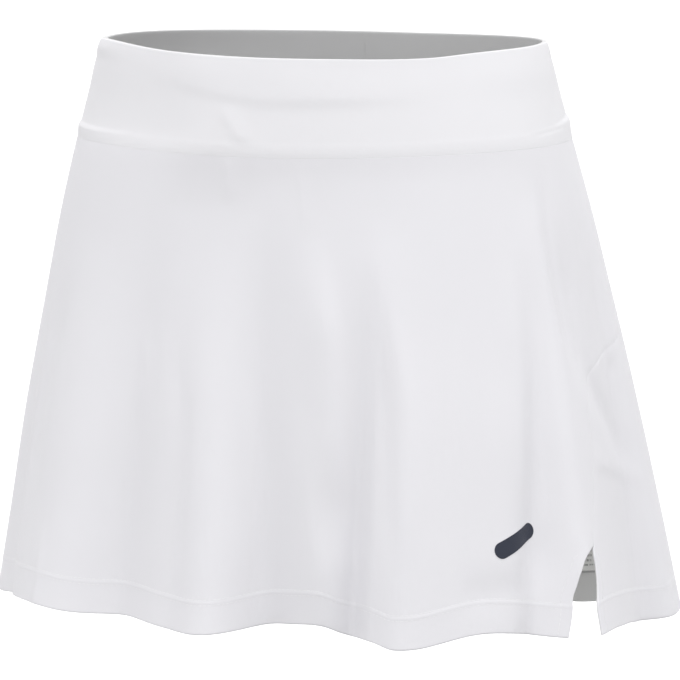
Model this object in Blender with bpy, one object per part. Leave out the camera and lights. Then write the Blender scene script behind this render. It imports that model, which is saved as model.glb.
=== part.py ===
"""A tennis skirt of white knit, worn high on the hips and filled out as if on a wearer.

Metres, +Z up. The origin is the centre of the waist opening, level with the band's top edge at the
sides, and the wearer faces -Y, so +X is the wearer's left. Every point of the cloth has two measures:
its angle round the wearer, in degrees from the centre front towards the left side, and its drop
below the waist edge. SECTIONS gives the plain form at a drop, FOLDS what the drape adds to it, and
WAVES how the hem rises and falls.
"""

import math
from collections import namedtuple

import bpy
import numpy as np

# ---------------------------------------------------------------- sizes

SKIRT_LENGTH = 0.343  # waist edge to hem at the centre front, before the drape
BAND_HEIGHT = 0.0595  # waist edge to waist seam
BAND_WALL = 0.0024  # two layers of knit
PANEL_WALL = 0.0015
SEAM_GAP = 0.0003  # between pieces where they are sewn together
SADDLE = 0.0020  # the waist edge lies this much lower at front and back, and higher at the sides
HEM_TILT = 0.0065  # the hem hangs this much lower at the wearer's left, and higher at the right
HEM_BACK = 0.0130  # the hem hangs this much lower at the centre back

ROLL_HEIGHT = 0.0125  # seam allowance turned up inside the band's lower edge
ROLL_LIFT = 0.0018
ROLL_EDGE = 0.0030
ROLL_TAPER = 0.6  # share of the lift that the roll has lost at the waist seam
ROLL_ROWS = (0.0095, 0.0060, 0.0030, 0.0012, SEAM_GAP / 2)  # heights above the waist seam
GROOVE_DEPTH = 0.0012  # both edges turn in at the waist seam
GROOVE_REACH = 0.0025

RIGHT_SEAM_ANGLE = -92.0
SIDE_ANGLE = 90.0
CIRCLE = 360.0

HEM_HEIGHT = 0.0190  # turned up inside, from the hem's edge to its stitching

# Each panel's columns keep their angles, but for those between its hinge and the left seam.
BAND_ROWS, BAND_COLUMNS = 5, 64
PANEL_ROWS = 20
FRONT_HINGE, FRONT_COLUMNS, FRONT_SIDE_COLUMNS = 58.0, 80, 18
BACK_HINGE, BACK_COLUMNS, BACK_SIDE_COLUMNS = 140.0, 44, 18
SETTLING_ROUNDS = 8
SHARP_ANGLE = math.radians(50)

Section = namedtuple("Section", "drop half_width front_depth back_depth lean squareness")
SECTIONS = (
    Section(0.000, 0.1360, 0.0990, 0.1030, 0.0003, 2.15),
    Section(0.012, 0.1409, 0.1013, 0.1056, -0.0002, 2.15),
    Section(0.030, 0.1454, 0.1046, 0.1094, 0.0000, 2.15),
    Section(0.060, 0.1532, 0.1104, 0.1164, 0.0002, 2.15),
    Section(0.100, 0.1633, 0.1185, 0.1265, 0.0010, 2.12),
    Section(0.160, 0.1762, 0.1300, 0.1410, 0.0020, 2.08),
    Section(0.230, 0.1904, 0.1430, 0.1570, 0.0032, 2.04),
    Section(0.290, 0.2011, 0.1530, 0.1690, 0.0044, 2.00),
    Section(0.350, 0.2114, 0.1610, 0.1790, 0.0053, 2.00),
)

# A fold is a ridge (depth above 0) or a valley (below 0) that runs from its start down to the hem.
# left and right are how far it reaches to either side as seen from outside, in degrees: a small
# value makes that side steep.
Fold = namedtuple("Fold", "name top_angle hem_angle start left right depth")
FOLDS = (
    Fold("right_hip_valley", -75.0, -69.0, 0.094, 9.0, 2.5, -0.0050),
    Fold("right_front_ridge", -53.5, -49.0, 0.110, 12.0, 10.5, 0.0195),
    Fold("right_thigh_valley", -37.0, -37.5, 0.080, 5.0, 5.5, -0.0095),
    Fold("right_thigh_pleat", -29.5, -25.5, 0.120, 4.0, 4.0, 0.0020),
    Fold("front_right_ridge", -17.0, -13.0, 0.103, 8.5, 7.5, 0.0140),
    Fold("front_valley", -2.5, -3.5, 0.086, 5.5, 11.5, -0.0175),
    Fold("front_pleat", 1.5, 14.0, 0.162, 4.5, 3.0, 0.0020),
    Fold("centre_valley", 27.5, 20.0, 0.120, 7.0, 5.5, -0.0235),
    Fold("centre_crease", 29.5, 22.0, 0.088, 2.5, 13.0, 0.0165),
    Fold("left_front_hollow", 50.0, 41.0, 0.150, 9.0, 9.0, 0.0015),
    Fold("left_thigh_valley", 65.0, 56.0, 0.115, 4.0, 3.5, -0.0120),
    Fold("left_thigh_ridge", 66.0, 64.5, 0.083, 3.0, 6.5, 0.0095),
    Fold("left_hip_valley", 86.0, 87.0, 0.066, 12.0, 3.5, -0.0165),
    Fold("left_back_ridge", 106.5, 105.5, 0.077, 14.0, 14.0, 0.0064),
    Fold("left_back_valley", 124.0, 126.0, 0.100, 9.0, 8.0, -0.0090),
    Fold("back_left_ridge", 143.0, 146.0, 0.085, 9.0, 8.0, 0.0120),
    Fold("back_left_valley", 163.0, 162.0, 0.110, 7.0, 8.0, -0.0120),
    Fold("back_ridge", 181.0, 178.0, 0.090, 9.0, 9.0, 0.0105),
    Fold("back_right_valley", 203.0, 199.0, 0.105, 8.0, 7.0, -0.0140),
    Fold("back_right_ridge", 217.0, 219.0, 0.080, 5.0, 10.0, 0.0125),
    Fold("right_back_valley", 240.0, 238.0, 0.100, 9.0, 8.0, -0.0115),
    Fold("right_back_ridge", 259.0, 258.0, 0.085, 9.0, 9.0, 0.0080),
)
FOLD_EASE = 0.12  # how gently a fold sets in below its start, as a share of the way to the hem
FOLD_END = 1.1  # where it stops growing, as a share of that way

# A wave lets the hem hang lower (drop above 0) or higher round an angle, with a fold's reaches.
Wave = namedtuple("Wave", "angle left right drop")
WAVES = (
    Wave(-68.7, 7.4, 8.7, -0.0023),
    Wave(-52.5, 11.0, 9.4, -0.0051),
    Wave(-33.1, 7.8, 7.1, -0.0025),
    Wave(-14.9, 8.2, 9.4, 0.0019),
    Wave(2.0, 9.2, 10.7, -0.0055),
    Wave(11.7, 6.1, 4.8, -0.0045),
    Wave(18.4, 6.1, 5.2, 0.0006),
    Wave(26.2, 3.0, 10.9, 0.0043),
    Wave(45.0, 9.9, 8.8, -0.0055),
    Wave(54.1, 6.0, 6.6, -0.0019),
    Wave(69.8, 5.7, 6.4, -0.0022),
    Wave(78.8, 11.2, 6.9, -0.0041),
    Wave(102.4, 15.7, 14.0, -0.0078),
    Wave(126.0, 9.0, 8.0, -0.0020),
    Wave(146.0, 9.0, 8.0, 0.0040),
    Wave(162.0, 7.0, 8.0, -0.0050),
    Wave(178.0, 9.0, 9.0, 0.0040),
    Wave(199.0, 8.0, 7.0, -0.0055),
    Wave(219.0, 8.0, 10.0, 0.0045),
    Wave(238.0, 9.0, 8.0, -0.0035),
)

# The left seam comes round from the back at the waist and runs down to the slit.
SeamRow = namedtuple("SeamRow", "drop angle")
LEFT_SEAM = (
    SeamRow(0.060, 132.0),
    SeamRow(0.100, 128.0),
    SeamRow(0.135, 119.0),
    SeamRow(0.165, 105.0),
    SeamRow(0.183, 90.0),
    SeamRow(0.196, 79.0),
    SeamRow(0.212, 75.5),
    SeamRow(0.245, 73.0),
    SeamRow(0.270, 70.5),
    SeamRow(0.298, 67.5),
    SeamRow(0.352, 66.0),
)

# The slit opens below the seam: how far each edge stands away from the seam's line, in degrees.
# Low down the back edge comes a little forward of that line, so its value is below 0.
SlitRow = namedtuple("SlitRow", "drop forward backward")
SLIT = (
    SlitRow(0.2975, 0.0, 0.0),
    SlitRow(0.3012, 1.4, 0.0),
    SlitRow(0.3114, 2.9, 0.5),
    SlitRow(0.3197, 3.6, 0.4),
    SlitRow(0.3266, 4.2, 0.0),
    SlitRow(0.3336, 4.4, -0.4),
    SlitRow(0.3520, 5.3, -0.1),
)

# The care label lies inside the back panel, its lower end at the hem's stitching.
LABEL_ANGLE = 136.0
LABEL_ROWS, LABEL_COLUMNS = 3, 3  # cells of the back panel's grid that it covers
LABEL_WALL = 0.0010


# ---------------------------------------------------------------- the form of the cloth


def smooth(t):
    t = np.clip(t, 0.0, 1.0)
    return t * t * (3.0 - 2.0 * t)


def column(rows, name):
    return np.array([getattr(row, name) for row in rows], float)


def through(rows, name, drop):
    """A smooth curve through one column of a table, read at a drop."""
    at = column(rows, "drop")
    value = column(rows, name)
    step = np.diff(at)
    slope = np.diff(value) / step
    tangent = np.empty_like(value)
    tangent[0], tangent[-1] = slope[0], slope[-1]
    same_way = slope[1:] * slope[:-1] > 0
    mean = (slope[1:] * step[:-1] + slope[:-1] * step[1:]) / (step[1:] + step[:-1])
    steepest = 3.0 * np.minimum(abs(slope[1:]), abs(slope[:-1]))
    tangent[1:-1] = np.where(same_way, np.sign(mean) * np.minimum(abs(mean), steepest), 0.0)
    drop = np.clip(drop, at[0], at[-1])
    i = np.clip(np.searchsorted(at, drop, side="right") - 1, 0, len(at) - 2)
    t = (drop - at[i]) / step[i]
    rise = value[i + 1] - value[i]
    start, end = tangent[i] * step[i], tangent[i + 1] * step[i]
    return value[i] + t * (start + t * (3 * rise - 2 * start - end + t * (start + end - 2 * rise)))


def bell(row, angle, centre):
    """1 on a fold's or wave's line and 0 away from it, steeper on its shorter side."""
    away = (angle - centre + CIRCLE / 2) % CIRCLE - CIRCLE / 2
    reach = np.where(away < 0, row.left, row.right)
    return np.exp(-((away / reach) ** 2))


def hem_drop(angle):
    """How far below the waist edge the hem hangs at an angle."""
    turn = np.radians(angle)
    hem = SKIRT_LENGTH + HEM_TILT * np.sin(turn) + HEM_BACK * (1 - np.cos(turn)) / 2
    return hem + sum(wave.drop * bell(wave, angle, wave.angle) for wave in WAVES)


def drape(angle, drop):
    """How far the folds move the cloth outwards."""
    total = np.zeros(np.broadcast(angle, drop).shape)
    for fold in FOLDS:
        t = np.clip((drop - fold.start) / (SKIRT_LENGTH - fold.start), 0.0, FOLD_END)
        centre = fold.top_angle + (fold.hem_angle - fold.top_angle) * t
        total = total + fold.depth * t * t / (t + FOLD_EASE) * bell(fold, angle, centre)
    return total


def plain_radius(angle, drop):
    """Distance of the plain form from the section's own centre."""
    turn = np.radians(angle)
    width = through(SECTIONS, "half_width", drop)
    front = through(SECTIONS, "front_depth", drop)
    back = through(SECTIONS, "back_depth", drop)
    power = through(SECTIONS, "squareness", drop)
    depth = np.where(np.cos(turn) > 0, front, back)
    return (abs(np.sin(turn) / width) ** power + abs(np.cos(turn) / depth) ** power) ** (-1 / power)


def cloth(angle, drop, lift=0.0):
    """The outside of the cloth at an angle and a drop, moved outwards by lift."""
    angle, drop = np.broadcast_arrays(np.asarray(angle, float), np.asarray(drop, float))
    turn = np.radians(angle)
    radius = plain_radius(angle, drop) + drape(angle, drop) + lift
    x = through(SECTIONS, "lean", drop) + radius * np.sin(turn)
    y = -radius * np.cos(turn)
    z = -drop - SADDLE * np.cos(2 * turn)
    return np.stack([x, y, z], axis=-1)


def left_edge(drop, side):
    """The angle of the left seam, or below it of the slit's forward or backward edge."""
    opening = through(SLIT, side, drop)
    return through(LEFT_SEAM, "angle", drop) + (-opening if side == "forward" else opening)


# ---------------------------------------------------------------- building


def finish(name, color, roughness):
    material = bpy.data.materials.new(name)
    material.use_nodes = True
    shader = material.node_tree.nodes["Principled BSDF"]
    shader.inputs["Base Color"].default_value = (*color, 1.0)
    shader.inputs["Roughness"].default_value = roughness
    shader.inputs["Metallic"].default_value = 0.0
    material.diffuse_color = (*color, 1.0)
    return material


def grid_faces(rows, columns, closed):
    last = columns if closed else columns - 1
    for r in range(rows - 1):
        for c in range(last):
            d = (c + 1) % columns
            yield r * columns + c, (r + 1) * columns + c, (r + 1) * columns + d, r * columns + d


def edge_loops(rows, columns, closed):
    """The open edges of a grid as loops of point numbers, each with the cloth on its left."""
    top = list(range(columns))
    bottom = [(rows - 1) * columns + c for c in range(columns)]
    if closed:
        return [top[::-1], bottom]
    left = [r * columns for r in range(rows)]
    right = [r * columns + columns - 1 for r in range(rows)]
    return [left[:-1] + bottom[:-1] + right[:0:-1] + top[:0:-1]]


def wall(name, outside, inside, closed, material, collection):
    """One piece of cloth between two grids of points, with rows down and columns round."""
    rows, columns = outside.shape[:2]
    count = rows * columns
    faces = list(grid_faces(rows, columns, closed))
    faces += [tuple(count + i for i in face[::-1]) for face in faces]
    for loop in edge_loops(rows, columns, closed):
        for here, there in zip(loop, loop[1:] + loop[:1]):
            faces.append((there, here, count + here, count + there))
    points = np.concatenate([outside.reshape(-1, 3), inside.reshape(-1, 3)])
    mesh = bpy.data.meshes.new(name)
    mesh.from_pydata(points.tolist(), [], faces)
    mesh.shade_smooth()
    mesh.set_sharp_from_angle(angle=SHARP_ANGLE)
    mesh.materials.append(material)
    obj = bpy.data.objects.new(name, mesh)
    collection.objects.link(obj)
    return obj


def groove(distance):
    """How far the cloth turns in at a distance from the waist seam."""
    return -GROOVE_DEPTH * (1 - smooth(distance / GROOVE_REACH))


def waistband(material, collection):
    plain_rows = np.linspace(0.0, BAND_HEIGHT - ROLL_HEIGHT, BAND_ROWS)
    drop = np.concatenate([plain_rows, BAND_HEIGHT - np.array(ROLL_ROWS)])[:, None]
    angle = np.linspace(0.0, CIRCLE, BAND_COLUMNS, endpoint=False)[None, :]
    below = np.maximum(drop - (BAND_HEIGHT - ROLL_HEIGHT), 0.0)
    roll = ROLL_LIFT * smooth(below / ROLL_EDGE) * (1 - ROLL_TAPER * below / ROLL_HEIGHT)
    lift = roll + groove(BAND_HEIGHT - drop)
    outside, inside = cloth(angle, drop, lift), cloth(angle, drop, -BAND_WALL)
    return wall("waistband", outside, inside, True, material, collection)


def settle(angles_at):
    """The angle and drop of every point of a panel.

    angles_at gives the angles of each row from the drops of its two ends. A row's drop depends on
    the hem below each point and an end's angle on its drop, so a few rounds settle both.
    """
    top = BAND_HEIGHT + SEAM_GAP / 2
    down = np.linspace(0.0, 1.0, PANEL_ROWS - 1)[:, None]
    ends = np.linspace(top, SKIRT_LENGTH, PANEL_ROWS)[:, None]
    drop = np.repeat(ends, 2, axis=1)
    for _ in range(SETTLING_ROUNDS):
        angle = angles_at(drop[:, :1], drop[:, -1:])
        hem = hem_drop(angle)
        stitching = hem[:-1] - HEM_HEIGHT
        drop = np.concatenate([top + down * (stitching - top), hem[-1:]])
    return angle, drop


def between(start, end, steps):
    """Columns of angles from start to end, without the last one."""
    return start + (end - start) * np.arange(steps)[None, :] / steps


def front_angles(first_drop, last_drop):
    hinge = np.full_like(first_drop, FRONT_HINGE)
    start = RIGHT_SEAM_ANGLE + half_gap(first_drop)
    end = left_edge(last_drop, "forward") - half_gap(last_drop)
    fixed, side = between(start, hinge, FRONT_COLUMNS), between(hinge, end, FRONT_SIDE_COLUMNS)
    return np.concatenate([fixed, side, end], axis=1)


def back_angles(first_drop, last_drop):
    hinge = np.full_like(first_drop, BACK_HINGE)
    start = left_edge(first_drop, "backward") + half_gap(first_drop)
    end = RIGHT_SEAM_ANGLE + CIRCLE - half_gap(last_drop)
    side, fixed = between(start, hinge, BACK_SIDE_COLUMNS), between(hinge, end, BACK_COLUMNS)
    return np.concatenate([side, fixed, end], axis=1)


def half_gap(drop):
    """Half the gap at a seam, in degrees."""
    return np.degrees(SEAM_GAP / 2 / plain_radius(SIDE_ANGLE, drop))


def panel(name, angle, drop, material, collection):
    lift = groove(drop - BAND_HEIGHT)
    outside, inside = cloth(angle, drop, lift), cloth(angle, drop, lift - PANEL_WALL)
    return wall(name, outside, inside, False, material, collection)


def label(angle, drop, material, collection):
    """A blank woven label inside the back panel, made from that panel's own points."""
    first = int(np.argmin(abs(angle[-2] - LABEL_ANGLE))) - LABEL_COLUMNS // 2
    rows, columns = slice(-2 - LABEL_ROWS, -1), slice(first, first + LABEL_COLUMNS + 1)
    angle, drop = angle[rows, columns], drop[rows, columns]
    skin = -PANEL_WALL - SEAM_GAP
    outside, inside = cloth(angle, drop, skin), cloth(angle, drop, skin - LABEL_WALL)
    return wall("care_label", outside, inside, False, material, collection)


def build():
    for obj in list(bpy.data.objects):
        bpy.data.objects.remove(obj)
    collection = bpy.data.collections.new("tennis_skirt")
    bpy.context.scene.collection.children.link(collection)
    knit = finish("white_knit", (0.86, 0.86, 0.87), 0.65)
    satin = finish("label_satin", (0.80, 0.80, 0.79), 0.5)
    waistband(knit, collection)
    panel("front_panel", *settle(front_angles), knit, collection)
    back = settle(back_angles)
    panel("back_panel", *back, knit, collection)
    label(*back, satin, collection)


build()
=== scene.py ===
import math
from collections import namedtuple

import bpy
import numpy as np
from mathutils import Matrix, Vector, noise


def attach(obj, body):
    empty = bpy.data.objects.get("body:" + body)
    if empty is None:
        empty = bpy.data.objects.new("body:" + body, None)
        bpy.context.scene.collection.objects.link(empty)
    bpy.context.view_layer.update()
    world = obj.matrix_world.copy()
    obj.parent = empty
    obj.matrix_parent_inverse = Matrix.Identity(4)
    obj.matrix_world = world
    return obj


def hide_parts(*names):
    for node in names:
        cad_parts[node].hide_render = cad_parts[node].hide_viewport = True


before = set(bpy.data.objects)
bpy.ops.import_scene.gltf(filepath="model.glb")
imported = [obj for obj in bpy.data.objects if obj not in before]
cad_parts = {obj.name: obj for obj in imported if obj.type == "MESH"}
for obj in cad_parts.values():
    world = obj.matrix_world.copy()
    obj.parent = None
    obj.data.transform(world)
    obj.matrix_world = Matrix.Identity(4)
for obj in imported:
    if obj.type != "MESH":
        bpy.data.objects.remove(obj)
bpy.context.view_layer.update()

# A white tennis skirt, filled out as if worn. Metres, +Z up, the wearer faces -Y and +X is the
# wearer's left. Every point of the cloth has an angle round the wearer, in degrees from the centre
# front towards the left side, and a drop below the waist edge. The form is the CAD part's, from the
# same sections, folds, waves, seam and slit. This script adds what the solids leave out: creases,
# turned edges, fine seams, stitches, the knit, the label's print and a plain mark.

# ---- sizes of the form, as in the part

SKIRT_LENGTH = 0.343  # waist edge to hem at the centre front, before the drape
BAND_HEIGHT = 0.0595
SADDLE = 0.0020  # the cloth lies this much lower at front and back, and higher at the sides
HEM_TILT = 0.0065  # the hem lies this much lower at the left side, and higher at the right
HEM_BACK = 0.0130  # and this much lower at the back than at the front
HEM_HEIGHT = 0.0190
RIGHT_SEAM_ANGLE = -92.0
CIRCLE = 360.0

Section = namedtuple("Section", "drop half_width front_depth back_depth lean squareness")
SECTIONS = (
    Section(0.000, 0.1360, 0.0990, 0.1030, 0.0003, 2.15),
    Section(0.012, 0.1409, 0.1013, 0.1056, -0.0002, 2.15),
    Section(0.030, 0.1454, 0.1046, 0.1094, 0.0000, 2.15),
    Section(0.060, 0.1532, 0.1104, 0.1164, 0.0002, 2.15),
    Section(0.100, 0.1633, 0.1185, 0.1265, 0.0010, 2.12),
    Section(0.160, 0.1762, 0.1300, 0.1410, 0.0020, 2.08),
    Section(0.230, 0.1904, 0.1430, 0.1570, 0.0032, 2.04),
    Section(0.290, 0.2011, 0.1530, 0.1690, 0.0044, 2.00),
    Section(0.350, 0.2114, 0.1610, 0.1790, 0.0053, 2.00),
)

Fold = namedtuple("Fold", "name top_angle hem_angle start left right depth")
FOLDS = (
    Fold("right_hip_valley", -75.0, -69.0, 0.094, 9.0, 2.5, -0.0050),
    Fold("right_front_ridge", -53.5, -49.0, 0.110, 12.0, 10.5, 0.0195),
    Fold("right_thigh_valley", -37.0, -37.5, 0.080, 5.0, 5.5, -0.0095),
    Fold("right_thigh_pleat", -29.5, -25.5, 0.120, 4.0, 4.0, 0.0020),
    Fold("front_right_ridge", -17.0, -13.0, 0.103, 8.5, 7.5, 0.0140),
    Fold("front_valley", -2.5, -3.5, 0.086, 5.5, 11.5, -0.0175),
    Fold("front_pleat", 1.5, 14.0, 0.162, 4.5, 3.0, 0.0020),
    Fold("centre_valley", 27.5, 20.0, 0.120, 7.0, 5.5, -0.0235),
    Fold("centre_crease", 29.5, 22.0, 0.088, 2.5, 13.0, 0.0165),
    Fold("left_front_hollow", 50.0, 41.0, 0.150, 9.0, 9.0, 0.0015),
    Fold("left_thigh_valley", 65.0, 56.0, 0.115, 4.0, 3.5, -0.0120),
    Fold("left_thigh_ridge", 66.0, 64.5, 0.083, 3.0, 6.5, 0.0095),
    Fold("left_hip_valley", 86.0, 87.0, 0.066, 12.0, 3.5, -0.0165),
    Fold("left_back_ridge", 106.5, 105.5, 0.077, 14.0, 14.0, 0.0064),
    Fold("left_back_valley", 124.0, 126.0, 0.100, 9.0, 8.0, -0.0090),
    Fold("back_left_ridge", 143.0, 146.0, 0.085, 9.0, 8.0, 0.0120),
    Fold("back_left_valley", 163.0, 162.0, 0.110, 7.0, 8.0, -0.0120),
    Fold("back_ridge", 181.0, 178.0, 0.090, 9.0, 9.0, 0.0105),
    Fold("back_right_valley", 203.0, 199.0, 0.105, 8.0, 7.0, -0.0140),
    Fold("back_right_ridge", 217.0, 219.0, 0.080, 5.0, 10.0, 0.0125),
    Fold("right_back_valley", 240.0, 238.0, 0.100, 9.0, 8.0, -0.0115),
    Fold("right_back_ridge", 259.0, 258.0, 0.085, 9.0, 9.0, 0.0080),
)
FOLD_EASE = 0.12  # how gently a fold sets in
FOLD_END = 1.1

Wave = namedtuple("Wave", "angle left right drop")
WAVES = (
    Wave(-68.7, 7.4, 8.7, -0.0023),
    Wave(-52.5, 11.0, 9.4, -0.0051),
    Wave(-33.1, 7.8, 7.1, -0.0025),
    Wave(-14.9, 8.2, 9.4, 0.0019),
    Wave(2.0, 9.2, 10.7, -0.0055),
    Wave(11.7, 6.1, 4.8, -0.0045),
    Wave(18.4, 6.1, 5.2, 0.0006),
    Wave(26.2, 3.0, 10.9, 0.0043),
    Wave(45.0, 9.9, 8.8, -0.0055),
    Wave(54.1, 6.0, 6.6, -0.0019),
    Wave(69.8, 5.7, 6.4, -0.0022),
    Wave(78.8, 11.2, 6.9, -0.0041),
    Wave(102.4, 15.7, 14.0, -0.0078),
    Wave(126.0, 9.0, 8.0, -0.0020),
    Wave(146.0, 9.0, 8.0, 0.0040),
    Wave(162.0, 7.0, 8.0, -0.0050),
    Wave(178.0, 9.0, 9.0, 0.0040),
    Wave(199.0, 8.0, 7.0, -0.0055),
    Wave(219.0, 8.0, 10.0, 0.0045),
    Wave(238.0, 9.0, 8.0, -0.0035),
)

SeamRow = namedtuple("SeamRow", "drop angle")
LEFT_SEAM = (
    SeamRow(0.060, 132.0),
    SeamRow(0.100, 128.0),
    SeamRow(0.135, 119.0),
    SeamRow(0.165, 105.0),
    SeamRow(0.183, 90.0),
    SeamRow(0.196, 79.0),
    SeamRow(0.212, 75.5),
    SeamRow(0.245, 73.0),
    SeamRow(0.270, 70.5),
    SeamRow(0.298, 67.5),
    SeamRow(0.352, 66.0),
)

SlitRow = namedtuple("SlitRow", "drop forward backward")
SLIT = (
    SlitRow(0.2975, 0.0, 0.0),
    SlitRow(0.3012, 1.4, 0.0),
    SlitRow(0.3114, 2.9, 0.5),
    SlitRow(0.3197, 3.6, 0.4),
    SlitRow(0.3266, 4.2, 0.0),
    SlitRow(0.3336, 4.4, -0.4),
    SlitRow(0.3520, 5.3, -0.1),
)
SLIT_TOP = SLIT[0].drop

# ---- finer creases

# The waist edge lies lower (drop above 0) or higher round these angles, fading out down to RIM_DEPTH.
RIM = (
    Wave(-66.0, 14.0, 16.0, -0.0017),
    Wave(46.0, 24.0, 12.0, 0.0018),
    Wave(184.0, 36.0, 36.0, -0.0016),
)
RIM_DEPTH = 0.035

# A crease runs through its (angle, drop) points and fades at both ends. One that runs down reaches
# before and after its line in degrees, one that runs across in metres of drop.
Crease = namedtuple("Crease", "name way points before after depth")
CREASES = (
    # the front and the left side, from the wearer's right
    Crease("hem_flare_right", "across", ((-68, 0.356), (-36, 0.354), (4, 0.357)), 0.0240, 0.0240, 0.0018),
    Crease("right_side_line", "down", ((-63, 0.130), (-64, 0.200), (-62, 0.290)), 4.3, 3.8, -0.0016),
    Crease("right_ridge_edge", "down", ((-52, 0.290), (-50, 0.352)), 1.6, 1.6, 0.0009),
    Crease("right_crest", "down", ((-46.5, 0.200), (-46, 0.352)), 4.5, 4.5, 0.0006),
    Crease("right_thigh_line", "down", ((-37, 0.160), (-35, 0.190), (-36, 0.225)), 1.5, 1.5, 0.0006),
    Crease("pleat_valley", "down", ((-27, 0.135), (-25, 0.187), (-22, 0.226), (-21, 0.345)),
           3.1, 2.4, -0.0009),
    Crease("right_swell", "down", ((-17, 0.150), (-16, 0.300)), 4.0, 4.5, 0.0005),
    Crease("front_puff", "down", ((-16.5, 0.058), (-15.5, 0.088)), 1.6, 2.4, 0.0005),
    Crease("hem_tuck", "across", ((-10, 0.356), (-3, 0.355), (5, 0.356)), 0.0160, 0.0160, -0.0012),
    Crease("front_line", "down", ((-8, 0.180), (-6, 0.250), (-7, 0.330)), 2.2, 2.6, 0.0010),
    Crease("front_puff_left", "down", ((6, 0.058), (8, 0.110)), 1.2, 2.2, 0.0003),
    Crease("wedge", "down", ((11.2, 0.100), (14.2, 0.180), (15.0, 0.290)), 5.8, 3.4, 0.0030),
    Crease("wedge_foot", "down", ((15.8, 0.262), (16.5, 0.310), (17.5, 0.400)), 4.5, 3.4, 0.0030),
    Crease("sharp_line", "down", ((28.1, 0.150), (27.1, 0.240), (26.1, 0.325)), 1.6, 1.4, -0.0015),
    Crease("centre_ridge", "down", ((29.3, 0.120), (31.3, 0.210), (29.3, 0.280), (26.3, 0.340)),
           2.0, 3.2, 0.0017),
    Crease("mark_hollow", "across", ((37, 0.323), (48, 0.320), (59, 0.319)), 0.0110, 0.0120, -0.0009),
    Crease("front_streak", "down", ((40, 0.140), (37, 0.230), (36, 0.345)), 2.2, 2.0, 0.0003),
    Crease("front_streak_left", "down", ((46, 0.150), (43, 0.240), (42, 0.345)), 2.0, 2.4, 0.0006),
    Crease("left_swell", "down", ((51, 0.180), (49, 0.352)), 5.0, 4.5, 0.0008),
    Crease("thigh_foot", "down", ((56.4, 0.295), (56.0, 0.330), (55.6, 0.400)), 3.8, 3.6, 0.0021),
    Crease("left_thigh_fill", "down", ((59.0, 0.105), (59.0, 0.176), (57.0, 0.224), (55.0, 0.310)),
           3.0, 2.8, 0.0017),
    Crease("slit_pull", "across", ((69, 0.2475), (78, 0.2525), (86, 0.260), (94, 0.270)),
           0.0110, 0.0050, 0.0006),
    Crease("left_hip_ridge", "down", ((70.3, 0.068), (68.3, 0.116), (66.3, 0.220), (65.3, 0.300)),
           3.0, 3.0, 0.0010),
    Crease("hip_line", "down", ((73, 0.064), (71, 0.132), (73, 0.215)), 2.0, 1.8, -0.0016),
    Crease("hip_trough", "down",
           ((74.1, 0.095), (75.1, 0.160), (77.5, 0.200), (84.0, 0.236), (91.5, 0.270)), 3.6, 3.0, -0.0022),
    # the band and the waist edge
    Crease("band_fold", "across", ((-56, 0.008), (-27, 0.0185), (-4, 0.0235), (20, 0.0232), (54, 0.0225)),
           0.0165, 0.0050, 0.0007),
    Crease("band_belly", "across", ((-88, 0.0515), (-30, 0.053), (30, 0.0535), (108, 0.050)),
           0.035, 0.012, 0.0011),
    Crease("band_corner_right", "down", ((-25, -0.030), (-25, 0.095)), 11.0, 35.0, 0.0028),
    Crease("band_corner_left", "down", ((66.5, -0.030), (66.5, 0.095)), 12.0, 12.0, 0.0008),
    Crease("rim_corner_right", "down", ((-76, -0.014), (-76, 0.013)), 15.0, 14.5, 0.0024),
    Crease("rim_corner_left", "down", ((104, -0.014), (104, 0.013)), 14.0, 14.0, 0.0010),
    Crease("rim_flare_right", "across", ((-78, -0.006), (-36, -0.0055), (6, -0.006)),
           0.0200, 0.0150, 0.0012),
    Crease("rim_flare_left", "across", ((38, -0.006), (75, -0.006), (112, -0.006)),
           0.0200, 0.0150, 0.0008),
    Crease("band_puff", "down", ((-20, 0.026), (-15.5, 0.040), (-9.5, 0.055)), 2.8, 4.0, 0.0005),
    Crease("band_hollow", "across", ((-84, 0.043), (-45, 0.045), (-16, 0.047)), 0.0240, 0.0130, -0.0012),
    Crease("band_side_fold", "across", ((70, 0.053), (80, 0.051), (92, 0.050)), 0.0014, 0.0014, -0.0002),
    # the sides that the photo hides
    Crease("left_back_line", "down", ((112, 0.200), (114, 0.260), (113, 0.345)), 2.4, 2.8, 0.0012),
    Crease("left_back_streak", "down", ((131, 0.120), (133, 0.190), (135, 0.290)), 2.0, 2.0, -0.0012),
    Crease("back_wedge", "down", ((155, 0.110), (154, 0.190), (153, 0.280)), 3.0, 5.0, 0.0030),
    Crease("back_line", "down", ((168, 0.180), (169, 0.250), (171, 0.345)), 1.8, 2.2, 0.0014),
    Crease("back_puff", "down", ((176, 0.060), (175, 0.115)), 1.5, 1.7, 0.0006),
    Crease("back_streak", "down", ((186, 0.150), (188, 0.240), (187, 0.345)), 2.4, 2.0, -0.0012),
    Crease("back_right_line", "down", ((206, 0.190), (205, 0.270), (207, 0.345)), 1.6, 2.0, 0.0013),
    Crease("back_right_puff", "down", ((213, 0.060), (211, 0.105)), 1.8, 1.5, 0.0006),
    Crease("back_right_streak", "down", ((226, 0.130), (228, 0.220), (227, 0.320)), 2.6, 2.2, -0.0014),
    Crease("right_back_line", "down", ((247, 0.170), (248, 0.250), (250, 0.345)), 2.2, 1.8, 0.0013),
    Crease("right_seam_pull", "across", ((246, 0.214), (257, 0.207), (267, 0.196)),
           0.0070, 0.0090, 0.0005),
    Crease("band_back_fold", "across", ((140, 0.023), (168, 0.0265), (196, 0.021), (228, 0.015)),
           0.0050, 0.0080, -0.0006),
    Crease("band_back_puff", "down", ((188, 0.030), (190, 0.056)), 3.0, 1.8, 0.0005),
)
CREASE_FADE = 0.35  # share of a crease's length over which each end fades

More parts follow.
